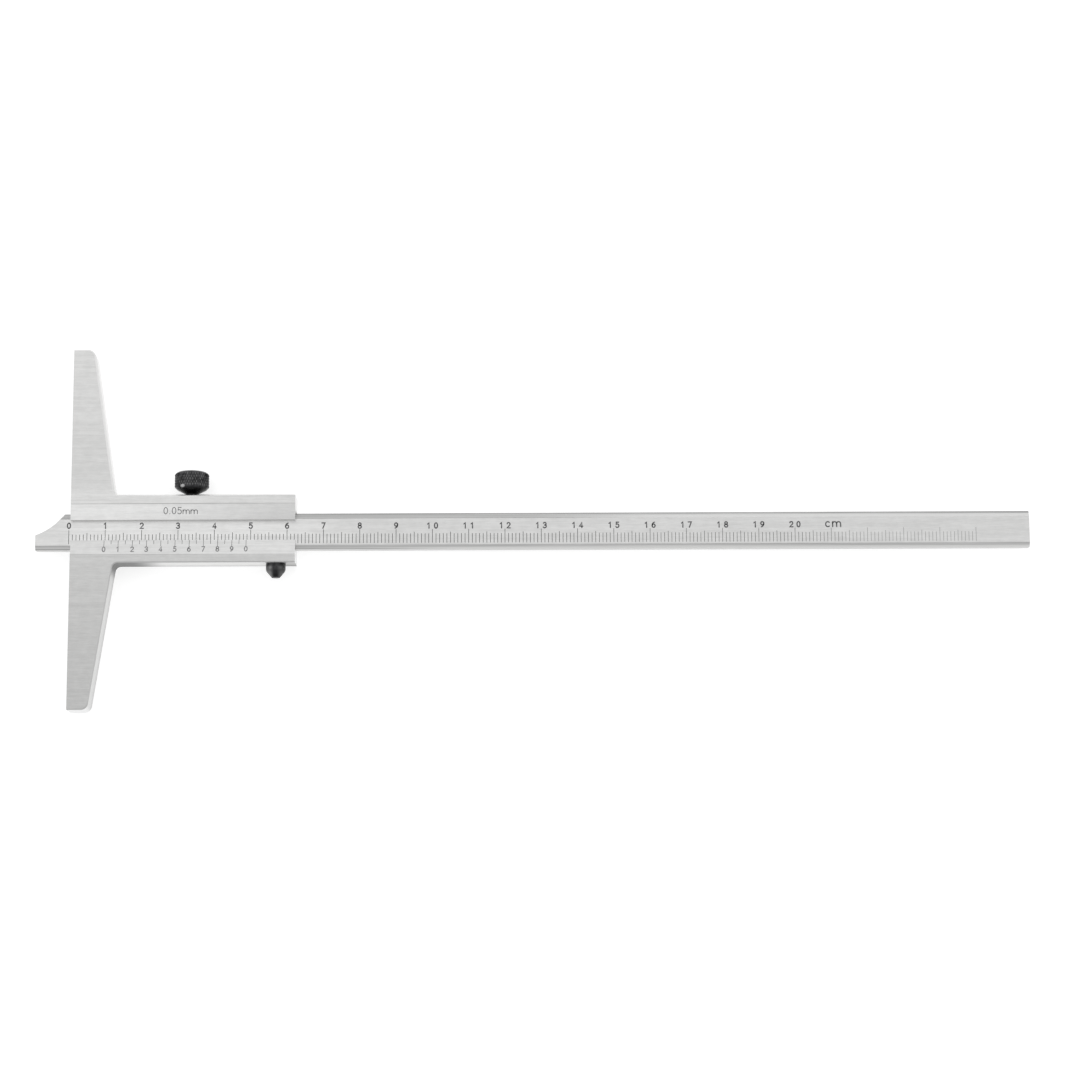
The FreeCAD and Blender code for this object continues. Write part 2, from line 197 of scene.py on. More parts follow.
class Value:
    """A shader socket that adds a Math node for each operation in an expression."""

    def __init__(self, shader, socket):
        self.shader = shader
        self.socket = socket

    def math(self, operation, *others):
        settings = {"operation": operation}
        return self.shader.node("ShaderNodeMath", settings, dict(enumerate((self, *others))))

    def __add__(self, other):
        return self.math("ADD", other)

    def __radd__(self, other):
        return self.math("ADD", other)

    def __sub__(self, other):
        return self.math("SUBTRACT", other)

    def __rsub__(self, other):
        return self.shader.node("ShaderNodeMath", {"operation": "SUBTRACT"}, {0: other, 1: self})

    def __mul__(self, other):
        return self.math("MULTIPLY", other)

    def __rmul__(self, other):
        return self.math("MULTIPLY", other)

    def __truediv__(self, other):
        return self.math("DIVIDE", other)

    def __pow__(self, other):
        return self.math("POWER", other)

    def __gt__(self, other):
        return self.math("GREATER_THAN", other)

    def __lt__(self, other):
        return self.math("LESS_THAN", other)

    def __abs__(self):
        return self.math("ABSOLUTE")

    def between(self, low, high):
        return (self > low) * (self < high)

    def ramp(self, low, high):
        """0 at low and 1 at high, smooth between."""
        settings = {"interpolation_type": "SMOOTHSTEP"}
        return self.shader.node("ShaderNodeMapRange", settings, {0: self, 1: low, 2: high})


class Shader:
    """The node tree of a material or world; node() adds any node and returns one of its outputs."""

    def __init__(self, owner):
        owner.use_nodes = True
        self.owner = owner
        self.tree = owner.node_tree
        in_world = isinstance(owner, bpy.types.World)
        self.surface = self.tree.nodes["Background" if in_world else "Principled BSDF"]

    @classmethod
    def material(cls, name):
        return cls(bpy.data.materials.new(name))

    def node(self, kind, settings=None, inputs=None, output=0):
        node = self.tree.nodes.new(kind)
        for name, value in (settings or {}).items():
            setattr(node, name, value)
        for name, value in (inputs or {}).items():
            self.feed(node.inputs[name], value)
        return Value(self, node.outputs[output])

    def feed(self, socket, value):
        if isinstance(value, Value):
            self.tree.links.new(value.socket, socket)
        elif socket.type == "RGBA" and len(value) == 3:
            socket.default_value = (*value, 1.0)
        else:
            socket.default_value = value

    def set(self, **sockets):
        """Feeds sockets of the surface, named with underscores for spaces."""
        for name, value in sockets.items():
            self.feed(self.surface.inputs[name.replace("_", " ")], value)

    def mix(self, factor, first, second):
        """First colour where the factor is 0, second where it is 1."""
        inputs = {"Factor": factor, 6: first, 7: second}
        return self.node("ShaderNodeMix", {"data_type": "RGBA", "clamp_factor": True}, inputs, 2)

    def mottled(self, noise, colour, dark, light):
        """A colour that follows the noise between two of its tones."""
        return self.mix(noise.ramp(0.3, 0.7), toned(colour, dark), toned(colour, light))

    def graded(self, factor, colour, near, far):
        """A colour times near where the factor is 0 and times far where it is 1."""
        return self.product(colour, self.mix(factor, grey(near), grey(far)))

    def product(self, first, second):
        """First colour multiplied by the second."""
        settings = {"data_type": "RGBA", "blend_type": "MULTIPLY"}
        return self.node("ShaderNodeMix", settings, {"Factor": 1.0, 6: first, 7: second}, 2)

    def place(self):
        """Position on the piece at rest in millimetres, as a vector and as x, y and z."""
        at = self.node("ShaderNodeTexCoord", output="Object")
        vector = self.scaled(at, (1 / MM, 1 / MM, 1 / MM))
        return vector, *self.split(vector)

    def facing(self):
        """The surface normal's x, y and z on the piece at rest."""
        return self.split(self.node("ShaderNodeTexCoord", output="Normal"))

    def split(self, vector):
        inputs = {0: vector}
        return [self.node("ShaderNodeSeparateXYZ", inputs=inputs, output=axis) for axis in "XYZ"]

    def scaled(self, vector, scale):
        return self.node("ShaderNodeVectorMath", {"operation": "MULTIPLY"}, {0: vector, 1: scale})

    def noise(self, vector, scale, detail=2.0, roughness=0.5):
        """Noise from 0 to 1, with scale in waves per millimetre along x, y and z."""
        inputs = {"Vector": self.scaled(vector, scale), "Scale": 1.0}
        inputs.update({"Detail": detail, "Roughness": roughness})
        return self.node("ShaderNodeTexNoise", inputs=inputs)

    def bump(self, height, distance, strength=1.0):
        inputs = {"Strength": strength, "Distance": distance, "Height": height}
        return self.node("ShaderNodeBump", inputs=inputs)


def grey(level):
    """A neutral colour."""
    return (level, level, level)


def toned(colour, factor):
    """A colour made darker or lighter by a factor."""
    return tuple(min(1.0, channel * factor) for channel in colour)


def line_at(distance, half_width):
    """1 within half a width of where the distance is 0, soft at the edges."""
    return abs(distance).ramp(half_width, half_width * 0.4)


def in_mark(depth):
    """1 inside an engraved mark, by the depth below its face in millimetres."""
    return depth.between(0.3 * MARK_DEPTH, 1.5 * MARK_DEPTH)


def ground_metal(shader, colour, vector, polish=0.0):
    """Metal ground along the beam, scratched, streaked and clouded. Returns its colour."""
    fine = shader.noise(vector, (0.3, 6.0, 6.0), 3.0, 0.65)
    broad = shader.noise(vector, (0.04, 1.3, 1.3), 2.0)
    cloud = shader.noise(vector, (0.35, 0.5, 0.5), 4.0, 0.65)
    shader.set(Metallic=1.0, Roughness=0.3 - 0.1 * polish + fine * 0.16 + cloud * 0.06)
    shader.set(Normal=shader.bump(fine + broad * 0.4, GRAIN_DEPTH, 0.6))
    return shader.mottled(fine * 0.45 + broad * 0.25 + cloud * 0.3, colour, 0.88, 1.11)


def body_steel(look):
    """Ground bridge and slider, with brighter milled sides carrying painted light and shade, and painted
    shade in the inner corners.
    """
    shader = Shader.material("ground_body_steel")
    vector, x, y, z = shader.place()
    across, along, up = shader.facing()
    steel = look.ground_steel
    upper, lower = y > 0.0, y < 0.0
    drag = shader.noise(vector, (0.025, 2.2, 2.2), 3.0, 0.7)
    milled = shader.noise(vector, (0.5, 0.5, 6.0), 3.0)
    lapped = shader.noise(vector, (4.0, 0.25, 4.0), 3.0, 0.6)

    # Front: darker down to the lower wing, brighter above the strips, with streaks beside them
    metal = shader.graded(y.ramp(40.0, -45.0), ground_metal(shader, steel, vector), 1.03, 0.88)
    above_strip = (y > LIP_HIGH[1]) * y.ramp(14.0, SLIDER_SIDE) * x.ramp(85.0, 30.0)
    metal = shader.graded(above_strip, metal, 1.0, 1.12)
    flank = abs(y).between(LIP_HIGH[1] - 0.1, SLIDER_SIDE) * (x > 0.0)
    metal = shader.mix(flank * drag.ramp(0.5, 0.75) * 0.3, metal, toned(steel, 0.62))

    # Sides: milled, with painted light towards the floor in the upper half and painted shade in the
    # lower half, darkest low down by the slider's end
    lit = shader.mix(z.ramp(7.5, 1.5), grey(0.88), grey(1.15))
    dim = shader.mix(z.ramp(4.5, 1.0), grey(0.64), grey(0.46))
    by_end = shader.mix(x.ramp(SLIDER_END - 5.0, SLIDER_END - 2.5), grey(1.0), dim)
    shade = shader.mix(y.ramp(-SLIDER_SIDE - 4.0, -SLIDER_SIDE), grey(0.88), by_end)
    shade = shader.graded(z.ramp(4.5, 0.8), shade, 0.99, 0.84)
    side_metal = shader.mottled(milled, steel, 1.26, 1.38)
    side_metal = shader.product(side_metal, shader.mix(lower, lit, shade))

    # Ends of the lower wing and the slider, and the faces that the photograph doesn't show
    # Painted light: the ends of the lower wing and the slider made flat pale greys
    painted_light_wing_end = along.ramp(-0.4, -0.95) * (y < BODY_LOW[1] + 4.0)
    side_metal = shader.mix(painted_light_wing_end, side_metal, grey(0.83))
    painted_light_slider_end = (across > 0.9) * (x > SLIDER_END - 1.0)
    side_metal = shader.mix(painted_light_slider_end, side_metal, grey(0.88))
    turned_away = (across < -0.9) + (along > 0.9)
    side_metal = shader.mix(turned_away, side_metal, shader.mottled(lapped, steel, 0.9, 1.1))
    side = abs(up).ramp(0.45, 0.2)
    metal = shader.mix(side, metal, side_metal)

    # Edges between front and sides, lighter in the upper half as a painted highlight
    painted_edge_highlight = shader.mix(lower, toned(steel, 1.4), toned(steel, 0.95))
    metal = shader.mix(abs(up).between(0.45, 0.95), metal, painted_edge_highlight)

    # Painted shade on the sides in the corners between wings and slider
    corner_x = x - INNER_CORNER_X
    corner_y = (abs(y) - SLIDER_SIDE) * 3.0
    reach = (corner_x * corner_x + corner_y * corner_y) ** 0.5 + milled * 3.0
    painted_corner_shade = reach.ramp(15.0, 5.0) * lower + reach.ramp(6.0, 2.5) * upper * 0.5
    metal = shader.mix(side * painted_corner_shade * 0.9, metal, toned(steel, 0.16))

    # Seams along the strips, fainter towards the end of the slider
    seam = line_at(y - LIP_HIGH[1] - 0.08, 0.17) + line_at(y - VERNIER_LOW[1] + 0.06, 0.12) * 0.6
    seam = seam * (z > BODY_HIGH[2] - 0.05) * (x > 0.0)
    seam = seam * drag.ramp(0.25, 0.55) * (1.0 - x.ramp(30.0, 60.0) * 0.5)
    metal = shader.mix(seam * 0.6, metal, toned(steel, 0.35))
    shader.set(Base_Color=metal)
    return shader.owner


def satin_strip(look, name, tones, marked):
    """Lighter satin strip, with tones by the bridge and by the slider's end, and painted light on its
    sides.
    """
    shader = Shader.material(name)
    vector, x, y, z = shader.place()
    up = shader.facing()[2]
    near, far, side = tones
    metal = ground_metal(shader, look.strip_steel, vector, 0.3)
    metal = shader.graded(x.ramp(10.0, SLIDER_END), metal, near, far)
    # Painted light: the sides lightened by a tone of their own
    metal = shader.mix(abs(up) < 0.5, metal, toned(look.strip_steel, side))
    if marked:
        inked = in_mark(vernier_face(y) - z) * (x > 1.0)
        inked = inked * y.between(VERNIER_HIGH[1] - 1.9, VERNIER_HIGH[1] - 0.03)
        metal = shader.mix(inked * 0.75, metal, look.ink)
    shader.set(Base_Color=metal)
    return shader.owner


def beam_steel(look):
    """Ground beam with ink in its divisions, painted light in the window, and bevels with dark lines
    along their edges.
    """
    shader = Shader.material("graduated_beam_steel")
    vector, x, y, z = shader.place()
    up = shader.facing()[2]
    steel = look.beam_steel
    upper, lower = y > 0.0, y < 0.0
    low_out = y - BEAM_LOW[1]
    high_out = BEAM_HIGH[1] - y
    streak = shader.noise(vector, (0.02, 3.5, 3.5), 3.0, 0.6)
    dark_line_noise = shader.noise(vector, (0.03, 0.8, 0.8), 3.0, 0.7)

    # Front: painted light, brightest in the window
    window = (x.ramp(-3.0, 3.0) * 0.65 + 0.35) * x.ramp(85.0, 45.0)
    metal = shader.graded(window, ground_metal(shader, steel, vector), 0.95, 1.07)

    # Bevels: rubbed bright towards the tail, the upper one dull by the slider
    rubbed = lower * low_out.ramp(0.75, 0.3) * x.ramp(62.0, 105.0)
    rubbed = rubbed + upper * high_out.ramp(0.55, 0.8) * x.ramp(125.0, 165.0)
    bevel_metal = shader.mottled(streak, steel, 0.78, 1.08)
    bevel_metal = shader.mix(rubbed, bevel_metal, toned(steel, 1.22))
    dull = upper * x.ramp(115.0, 80.0) * 0.5
    bevel_metal = shader.mix(dull, bevel_metal, toned(steel, 0.7))
    metal = shader.mix(up.between(0.3, 0.97), metal, bevel_metal)

    # Dark lines, broken by noise, along the ridges and rims of the bevels
    low_ridge = line_at(low_out - BEVEL_LOW, 0.2) * 0.55
    high_ridge = line_at(high_out - BEVEL_HIGH, 0.14) * x.ramp(165.0, 125.0) * 0.7
    low_rim = line_at(low_out - 0.12, 0.22) * x.ramp(110.0, 70.0) * 0.8
    high_rim = line_at(high_out - 0.2, 0.32) * 0.7
    dark = (low_ridge + high_ridge + low_rim + high_rim) * dark_line_noise.ramp(0.25, 0.6)
    dark = dark * (z > BEAM_HIGH[2] - BEVEL_REACH)
    metal = shader.mix(dark * 0.55, metal, toned(steel, 0.3))

    # Ink in the divisions, paler towards the tail
    inked = in_mark(BEAM_HIGH[2] - z) * y.between(SCALE_FOOT - 0.02, SCALE_TOP + 0.02)
    inked = inked * x.between(SCALE_ZERO_X - 0.5, SCALE_END_X + 0.5)
    faded = x.ramp(130.0, 160.0) * 0.2 + x.ramp(195.0, 225.0) * 0.35
    metal = shader.mix(inked * (1.0 - faded), metal, look.ink)
    shader.set(Base_Color=metal)
    return shader.owner


def black_screw(look, node, low, high, edge_y, shaded):
    """Black oxide: wear that doubles as painted highlights, painted shade at the foot and a glint where
    shaded is 1, with a sheen where it is 0.
    """
    shader = Shader.material(f"{node}_black")
    vector, x, y, z = shader.place()
    along, up = shader.facing()[1:]
    black = look.black_oxide
    out_x = x - (low[0] + high[0]) / 2
    out_z = z - (low[2] + high[2]) / 2
    radius = (out_x * out_x + out_z * out_z) ** 0.5
    reach = (high[0] - low[0]) / 2
    patch = shader.noise(vector, (0.9, 0.9, 0.9), 3.0)
    rubbed = shader.noise(vector, (0.55, 0.4, 0.55), 3.0, 0.6)
    pits = shader.noise(vector, (7.0, 7.0, 7.0), 2.0)
    # Rubbed patches in the oxide, on the lock screw light enough to stand in for painted highlights
    oxide = shader.mix(rubbed.ramp(0.35, 0.65), toned(black, 0.7), toned(black, 1.4 + 2.0 * shaded))

    # Wear on the rim, light enough to stand in for a painted highlight, and painted shade at the foot
    wear_and_glints = radius.ramp(reach - 0.2, reach) * patch.ramp(0.35, 0.6) * (0.12 + 0.88 * shaded)
    oxide = shader.mix(wear_and_glints, oxide, grey(0.17))
    foot = y.ramp(edge_y + 0.1, edge_y - 0.5) * shaded
    oxide = shader.mix(foot, oxide, toned(black, 0.5))

    # Oval glint above the foot
    glint = ((out_x + 0.45 * reach) / 0.75) ** 2.0 + ((y - edge_y - 0.1) / 0.5) ** 2.0
    glint = glint.ramp(1.0, 0.15) * up.ramp(0.2, 0.5) * shaded
    oxide = shader.mix(glint, oxide, grey(0.55))

    # Turned rings on the end faces
    rings = (radius * 16.0).math("SINE") * 0.3 + patch
    turned = shader.mix(rings.ramp(0.2, 0.8), black, toned(black, 2.2))
    oxide = shader.mix(abs(along).ramp(0.9, 0.97), oxide, turned)

    # Sheen left and right of the middle
    left, right = (abs(out_x + side * 0.55 * reach).ramp(0.45 * reach, 0.0) for side in (1, -1))
    sheen = (left + right * 0.4) * y.ramp(edge_y + 1.4, edge_y + 0.7) * (1.0 - shaded)
    oxide = shader.mix(sheen * up.ramp(0.1, 0.4), oxide, grey(0.17))
    shader.set(Base_Color=oxide, Metallic=0.75, Roughness=0.22 + patch * 0.14)
    shader.set(Normal=shader.bump(pits, PATCH_DEPTH, 0.5))
    return shader.owner


def plain_metal(name, colour, grain):
    """Plain machined metal for the small parts."""
    shader = Shader.material(name)
    turned = shader.noise(shader.place()[0], grain, 2.0)
    shader.set(Base_Color=shader.mottled(turned, colour, 0.82, 1.12))
    shader.set(Metallic=1.0, Roughness=0.28 + turned * 0.16)
    shader.set(Normal=shader.bump(turned, GRAIN_DEPTH, 0.5))
    return shader.owner


def ink_fill(look, name, strength):
    """Matt ink in the figures, uneven, and paler where its strength is less."""
    shader = Shader.material(name)
    patch = shader.noise(shader.place()[0], (2.0, 2.0, 2.0), 2.0)
    pale = 0.3 * (1.0 - strength)
    thick = tuple(channel + pale for channel in look.ink)
    thin = tuple((channel * 3.0 + pale) * 1.3 for channel in look.ink)
    shader.set(Base_Color=shader.mix(patch.ramp(0.3, 0.7), thick, thin))
    shader.set(Roughness=0.55 + patch * 0.2)
    return shader.owner


def dress(node, material):
    """Gives every slot of a solid's object one material."""
    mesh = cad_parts[node].data
    mesh.materials.clear()
    mesh.materials.append(material)


# Figures: single-stroke characters, one unit high

ARC_STEP = 20.0
GLYPH_WIDTH = {".": 0.2, "m": 0.98, "c": 0.52}
DIGIT_WIDTH = 0.6
LETTER_HEIGHT = 0.66
STROKE_SUNK = 0.03
STROKE_PROUD = 0.006
MITRE_LIMIT = 1.6
ROUND_ANGLES = (30, 60, 84)


def arc(centre_x, centre_y, reach_x, reach_y, start, end):
    """Points along an arc of an ellipse, from start to end in degrees."""
    steps = max(3, round(abs(end - start) / ARC_STEP))
    angles = [math.radians(start + (end - start) * index / steps) for index in range(steps + 1)]
    return [(centre_x + reach_x * math.cos(a), centre_y + reach_y * math.sin(a)) for a in angles]


def glyph_strokes(character):
    """The strokes of a character: lists of points within its width and a height of one."""
    strokes = {
        "0": [arc(0.3, 0.5, 0.28, 0.5, 0, 360)],
        "1": [[(0.1, 0.78), (0.34, 1.0), (0.34, 0.0)]],
        "2": [arc(0.3, 0.71, 0.27, 0.29, 165, -35) + [(0.02, 0.0), (0.6, 0.0)]],
        "3": [arc(0.27, 0.75, 0.26, 0.25, 150, -90), arc(0.27, 0.26, 0.3, 0.26, 90, -150)],
        "4": [[(0.44, 0.0), (0.44, 1.0), (0.0, 0.27), (0.6, 0.27)]],
        "5": [[(0.54, 1.0), (0.11, 1.0), (0.07, 0.56)] + arc(0.28, 0.33, 0.3, 0.33, 120, -145)],
        "6": [arc(0.3, 0.31, 0.28, 0.31, 0, 360), arc(0.62, 0.36, 0.6, 0.64, 104, 184)],
        "7": [[(0.02, 1.0), (0.58, 1.0), (0.2, 0.0)]],
        "8": [arc(0.3, 0.765, 0.24, 0.235, 0, 360), arc(0.3, 0.27, 0.29, 0.27, 0, 360)],
        "9": [arc(0.3, 0.69, 0.28, 0.31, 0, 360), arc(-0.02, 0.64, 0.6, 0.64, -76, 4)],
        ".": [[(0.1, 0.02), (0.1, 0.06)]],
        "m": [
            [(0.0, 0.0), (0.0, 0.62)],
            arc(0.245, 0.38, 0.245, 0.24, 180, 0) + [(0.49, 0.0)],
            arc(0.735, 0.38, 0.245, 0.24, 180, 0) + [(0.98, 0.0)],
        ],
        "c": [arc(0.28, 0.31, 0.27, 0.31, 50, 310)],
    }
    return strokes[character]


def text_strokes(text, height, tracking):
    """Strokes of a text centred on x = 0 with its foot at y = 0, in millimetres."""
    widths = [GLYPH_WIDTH.get(character, DIGIT_WIDTH) * height for character in text]
    left = -(sum(widths) + tracking * (len(text) - 1)) / 2
    strokes = []
    for character, width in zip(text, widths):
        for points in glyph_strokes(character):
            strokes.append([(left + x * height, y * height) for x, y in points])
        left += width + tracking
    return strokes


def add_stroke(mesh, points, width, surface):
    """Adds a rounded stroke, sunk into the surface and standing just proud of it."""
    closed = math.dist(points[0], points[-1]) < 1e-6
    if closed:
        points = points[:-1]
    count = len(points)
    stations = []
    for index, (x, y) in enumerate(points):
        before = points[index - 1] if index or closed else points[0]
        after = points[(index + 1) % count] if index < count - 1 or closed else points[-1]
        first = Vector((x - before[0], y - before[1]))
        second = Vector((after[0] - x, after[1] - y))
        way = (first.normalized() + second.normalized()).normalized()
        spread = 1.0
        if first.length > 0 and second.length > 0:
            spread = min(MITRE_LIMIT, 1 / max(0.3, way.dot(second.normalized())))
        stations.append((Vector((x, y)), way, width / 2 * spread))
    if not closed:
        start, end = round_end(stations[0], -1, width), round_end(stations[-1], 1, width)
        stations = start[::-1] + stations + end
    rings = []
    for at, way, half in stations:
        aside = Vector((-way.y, way.x)) * half
        left, right = at + aside, at - aside
        top, foot = STROKE_PROUD, -STROKE_SUNK
        ring = []
        for edge, lift in ((left, top), (right, top), (right, foot), (left, foot)):
            height = surface(edge.x, edge.y) + lift
            ring.append(mesh.verts.new((edge.x * MM, edge.y * MM, height * MM)))
        rings.append(ring)
    pairs = list(zip(rings, rings[1:]))
    if closed:
        pairs.append((rings[-1], rings[0]))
    else:
        mesh.faces.new(rings[0])
        mesh.faces.new(rings[-1][::-1])
    for near, far in pairs:
        for index in range(4):
            following = (index + 1) % 4
            mesh.faces.new((near[index], far[index], far[following], near[following]))


def round_end(station, sense, width):
    """Narrowing stations that round off a stroke past its last point."""
    at, way = station[:2]
    ends = []
    for angle in ROUND_ANGLES:
        reach = width / 2 * math.sin(math.radians(angle)) * sense
        ends.append((at + way * reach, way, width / 2 * math.cos(math.radians(angle))))
    return ends


def figures(name, marks, body, surface, material):
    """One piece of figures; a mark is a text, its centre x, foot y, height, stroke and tracking."""
    mesh = bmesh.new()
    for text, centre_x, foot, height, stroke, tracking in marks:
        for points in text_strokes(text, height, tracking):
            add_stroke(mesh, [(centre_x + x, foot + y) for x, y in points], stroke, surface)
    bmesh.ops.recalc_face_normals(mesh, faces=mesh.faces)
    data = bpy.data.meshes.new(name)
    mesh.to_mesh(data)
    mesh.free()
    data.materials.append(material)
    piece = bpy.data.objects.new(name, data)
    bpy.context.scene.collection.objects.link(piece)
    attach(piece, body)
    return piece


class GaugeOperator(bpy.types.Operator):
    """Base of the gauge's operators."""

    bl_options = {"REGISTER", "UNDO"}


class GAUGE_OT_bridge(GaugeOperator):
    """Finish the bridge and slider body in ground steel"""

    bl_idname = "gauge.bridge"
    bl_label = "Bridge and slider"

    def execute(self, context):
        dress("bridge_body", body_steel(context.scene.gauge_look))
        return {"FINISHED"}


class GAUGE_OT_strips(GaugeOperator):
    """Finish the guide strip and the vernier strip in lighter satin steel"""

    bl_idname = "gauge.strips"
    bl_label = "Strips"

    def execute(self, context):
        look = context.scene.gauge_look
        guide = satin_strip(look, "guide_strip_steel", (0.98, 0.8, 1.1), False)
        vernier = satin_strip(look, "vernier_strip_steel", (0.86, 0.885, 1.3), True)
        dress("upper_guide_strip", guide)
        dress("vernier_strip", vernier)
        return {"FINISHED"}


class GAUGE_OT_beam(GaugeOperator):
    """Finish the graduated beam"""

    bl_idname = "gauge.beam"
    bl_label = "Beam"

    def execute(self, context):
        dress("beam", beam_steel(context.scene.gauge_look))
        return {"FINISHED"}


class GAUGE_OT_beam_figures(GaugeOperator):
    """Ink the centimetre figures and the unit on the beam"""

    bl_idname = "gauge.beam_figures"
    bl_label = "Beam figures"

    def execute(self, context):
        look = context.scene.gauge_look
        height, stroke = look.figure_height, look.figure_stroke
        foot = SCALE_TOP + FIGURE_GAP + stroke / 2
        marks = []
        for centimetre in range(LAST_FIGURE + 1):
            x = SCALE_ZERO_X + 10 * centimetre
            rise = max(0.0, FIGURE_RISE - FIGURE_FALL * centimetre)
            marks.append((str(centimetre), x, foot + rise, height, stroke, 1.1))
        unit_x = SCALE_ZERO_X + 10 * (LAST_FIGURE + 1) + UNIT_SHIFT
        marks.append(("cm", unit_x, foot, height / LETTER_HEIGHT, stroke, 0.8))
        ink = ink_fill(look, "beam_ink", 0.85)
        figures("beam_figures", marks, "beam", lambda x, y: BEAM_HIGH[2], ink)
        return {"FINISHED"}


class GAUGE_OT_vernier_figures(GaugeOperator):
    """Ink the vernier figures on the slanted face of the vernier strip"""

    bl_idname = "gauge.vernier_figures"
    bl_label = "Vernier figures"

    def execute(self, context):
        look = context.scene.gauge_look
        height, stroke = look.vernier_height, look.vernier_stroke
        marks = []
        for step in range(11):
            x = ZERO_FROM_TIP + 2 * VERNIER_STEP * step
            marks.append((str(step % 10), x, VERNIER_FIGURE_FOOT, height, stroke, 0.6))
        ink = ink_fill(look, "vernier_ink", 0.5)
        figures("vernier_figures", marks, "slider", lambda x, y: vernier_face(y), ink)
        return {"FINISHED"}


class GAUGE_OT_reading_note(GaugeOperator):
    """Ink the smallest reading on the upper strip"""

    bl_idname = "gauge.reading_note"
    bl_label = "Reading note"

    def execute(self, context):
        look = context.scene.gauge_look
        mark = ("0.05mm", NOTE_X, NOTE_FOOT, look.note_height, look.note_stroke, 0.42)
        ink = ink_fill(look, "note_ink", 0.7)
        figures("reading_note", [mark], "slider", lambda x, y: LIP_HIGH[2], ink)
        return {"FINISHED"}


class GAUGE_OT_black_screws(GaugeOperator):
    """Finish the knurled lock screw and the friction screw in black oxide"""

    bl_idname = "gauge.black_screws"
    bl_label = "Black screws"

    def execute(self, context):
        look = context.scene.gauge_look
        for node, low, high, edge_y, shaded in (
            ("lock_screw", LOCK_LOW, LOCK_HIGH, LOCK_HIGH[1] - 4.5, 1.0),
            ("friction_screw", FRICTION_LOW, FRICTION_HIGH, FRICTION_LOW[1] + 1.9, 0.0),
        ):
            dress(node, black_screw(look, node, low, high, edge_y, shaded))
        return {"FINISHED"}


class GAUGE_OT_small_parts(GaugeOperator):
    """Finish the gib strip, pad, plunger, gib screws and spring"""

    bl_idname = "gauge.small_parts"
    bl_label = "Small parts"

    def execute(self, context):
        look = context.scene.gauge_look
        bronze = plain_metal("machined_bronze", look.bronze, (0.4, 4.0, 4.0))
        steel = plain_metal("machined_screw_steel", look.screw_steel, (3.0, 3.0, 3.0))
        for node in ("gib_strip", "lock_pad", "friction_plunger"):
            dress(node, bronze)
        for node in ("gib_screw_left", "gib_screw_right", "friction_spring"):
            dress(node, steel)
        return {"FINISHED"}


# Camera of the photograph, in metres and degrees

CAMERA_TARGET = Vector((0.12698, -0.00132, 0.00655))
CAMERA_DISTANCE = 0.76
CAMERA_TILT = 9.6
CAMERA_YAW = 0.57
CAMERA_ROLL = -0.311
CAMERA_LENS = 93.23
SENSOR_WIDTH = 36.0

# Floor and lights, in metres
FLOOR_HALF = 1.6
FLOOR_DROP = 0.02 * MM
FLOOR_GLOW = 0.72
SOFTBOX_PLACE = (0.1, 0.5, 0.9)
SOFTBOX_SIZE = (1.4, 0.8)
KEY_PLACE = (-0.72, 0.12, 0.3)
FILL_PLACE = (0.9, 0.12, 0.32)
CARD_SIZE = (0.5, 0.9)
FILL_SHARE = 0.6


def add_camera():
    """Camera a little below the gauge's middle line, looking down on its front."""
    tilt, yaw, roll = (math.radians(angle) for angle in (CAMERA_TILT, CAMERA_YAW, CAMERA_ROLL))
    flat = math.cos(tilt)
    forward = Vector((math.sin(yaw) * flat, math.sin(tilt), -math.cos(yaw) * flat)).normalized()
    level = forward.cross(Vector((0, 1, 0))).normalized()
    upright = level.cross(forward)
    right = level * math.cos(roll) + upright * math.sin(roll)
    up = upright * math.cos(roll) - level * math.sin(roll)
    data = bpy.data.cameras.new("camera")
    data.sensor_fit = "HORIZONTAL"
    data.sensor_width = SENSOR_WIDTH
    data.lens = CAMERA_LENS
    data.clip_start = 0.01
    data.clip_end = 20.0
    camera = bpy.data.objects.new("camera", data)
    turn = Matrix((right, up, -forward)).transposed().to_4x4()
    camera.matrix_world = Matrix.Translation(CAMERA_TARGET - forward * CAMERA_DISTANCE) @ turn
    bpy.context.scene.collection.objects.link(camera)
    bpy.context.scene.camera = camera


def floor_paper(look):
    """Pale paper that shows white to the camera and in the metal, and keeps its shadow."""
    shader = Shader.material("floor_paper")
    shader.set(Base_Color=look.floor, Roughness=1.0)
    shader.surface.inputs["Specular IOR Level"].default_value = 0.0
    seen = shader.node("ShaderNodeLightPath", output="Is Camera Ray")
    mirrored = shader.node("ShaderNodeLightPath", output="Is Glossy Ray")
    glow = shader.node("ShaderNodeEmission", inputs={"Strength": FLOOR_GLOW * (seen + mirrored)})
    paper = Value(shader, shader.surface.outputs[0])
    both = shader.node("ShaderNodeAddShader", inputs={0: paper, 1: glow})
    shader.feed(shader.tree.nodes["Material Output"].inputs["Surface"], both)
    return shader.owner


def add_floor(look):
    """Flat floor just under the gauge."""
    half = FLOOR_HALF
    data = bpy.data.meshes.new("floor")
    corners = [(-half, -half, 0), (half, -half, 0), (half, half, 0), (-half, half, 0)]
    data.from_pydata(corners, [], [(0, 1, 2, 3)])
    data.materials.append(floor_paper(look))
    floor = bpy.data.objects.new("floor", data)
    floor.location = (CAMERA_TARGET.x, 0, -FLOOR_DROP)
    bpy.context.scene.collection.objects.link(floor)


def add_dome(look):
    """Soft light all round: brightest overhead, dimmer towards the horizon, white to the camera."""
    world = bpy.data.worlds.new("dome")
    bpy.context.scene.world = world
    shader = Shader(world)
    height = shader.split(shader.node("ShaderNodeTexCoord", output="Generated"))[2]
    seen = shader.node("ShaderNodeLightPath", output="Is Camera Ray")
    light = (height.ramp(0.0, 1.0) * 0.25 + 0.75) * look.dome_strength
    shader.set(Color=(1.0, 1.0, 1.0), Strength=light + seen * (1.0 - light))


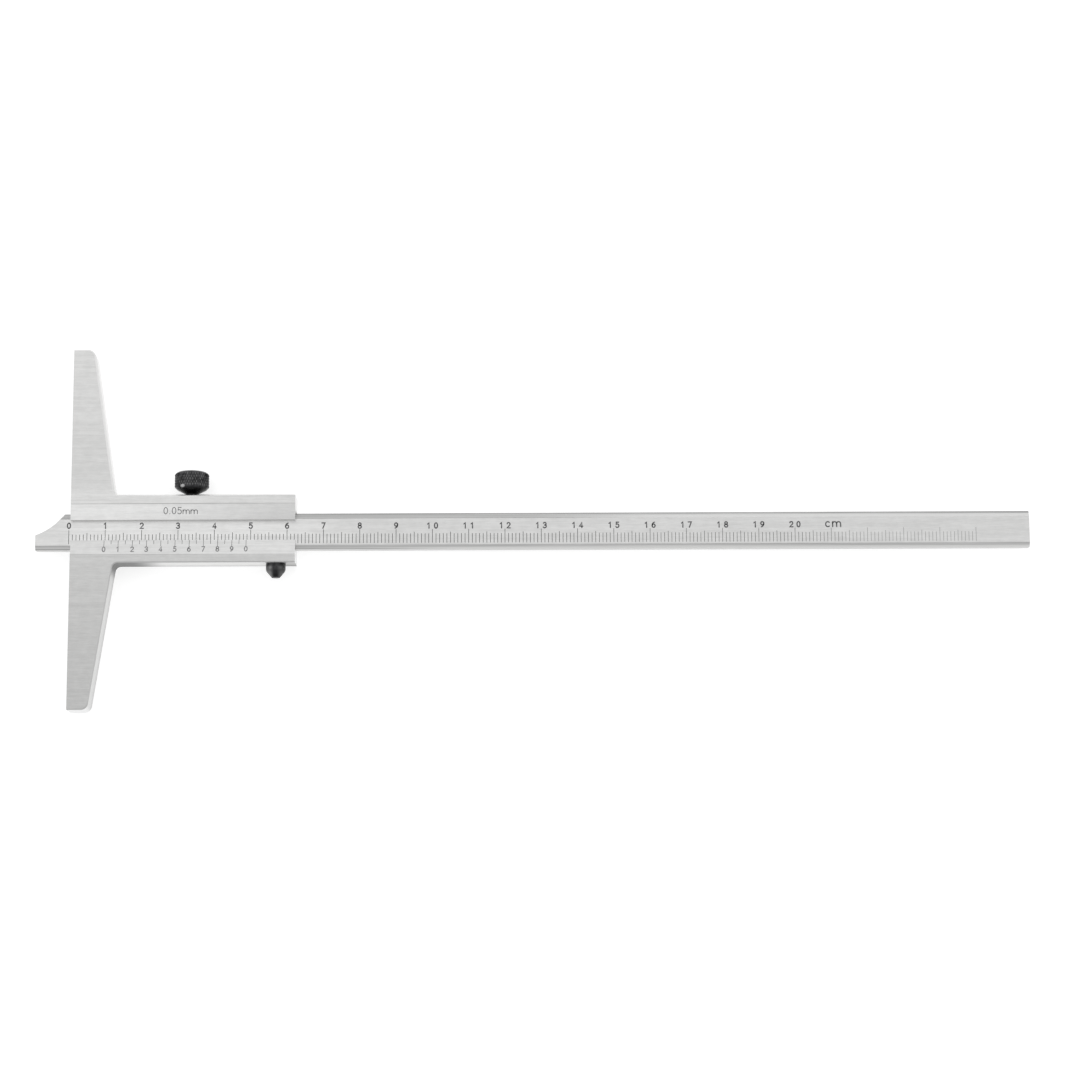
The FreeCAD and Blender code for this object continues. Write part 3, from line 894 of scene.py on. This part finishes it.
def add_softbox(name, place, size, power):
    """Rectangular light that faces the gauge."""
    data = bpy.data.lights.new(name, "AREA")
    data.shape = "RECTANGLE"
    data.size, data.size_y = size
    data.energy = power
    light = bpy.data.objects.new(name, data)
    light.location = place
    towards = CAMERA_TARGET - Vector(place)
    light.rotation_euler = towards.to_track_quat("-Z", "Y").to_euler()
    bpy.context.scene.collection.objects.link(light)


class GAUGE_OT_stage(GaugeOperator):
    """Add the floor, the soft light and the camera"""

    bl_idname = "gauge.stage"
    bl_label = "Floor, light and camera"

    def execute(self, context):
        look = context.scene.gauge_look
        context.scene.view_settings.view_transform = "Standard"
        add_floor(look)
        add_dome(look)
        add_softbox("softbox", SOFTBOX_PLACE, SOFTBOX_SIZE, look.softbox_power)
        add_softbox("key", KEY_PLACE, CARD_SIZE, look.key_power)
        add_softbox("fill", FILL_PLACE, CARD_SIZE, look.key_power * FILL_SHARE)
        add_camera()
        return {"FINISHED"}


STEPS = (
    GAUGE_OT_bridge,
    GAUGE_OT_strips,
    GAUGE_OT_beam,
    GAUGE_OT_beam_figures,
    GAUGE_OT_vernier_figures,
    GAUGE_OT_reading_note,
    GAUGE_OT_black_screws,
    GAUGE_OT_small_parts,
    GAUGE_OT_stage,
)


class GAUGE_PT_panel(bpy.types.Panel):
    """Lists the gauge's steps and its look."""

    bl_idname = "GAUGE_PT_panel"
    bl_label = "Depth gauge"
    bl_space_type = "VIEW_3D"
    bl_region_type = "UI"
    bl_category = "Gauge"

    def draw(self, context):
        for step in STEPS:
            self.layout.operator(step.bl_idname)
        for name in GaugeLook.__annotations__:
            self.layout.prop(context.scene.gauge_look, name)


CLASSES = (GaugeLook, *STEPS, GAUGE_PT_panel)


def register():
    for item in CLASSES:
        bpy.utils.register_class(item)
    bpy.types.Scene.gauge_look = bpy.props.PointerProperty(type=GaugeLook)


def unregister():
    del bpy.types.Scene.gauge_look
    for item in reversed(CLASSES):
        bpy.utils.unregister_class(item)


def main():
    register()
    for step in STEPS:
        group, name = step.bl_idname.split(".")
        getattr(getattr(bpy.ops, group), name)()


if __name__ == "__main__":
    main()
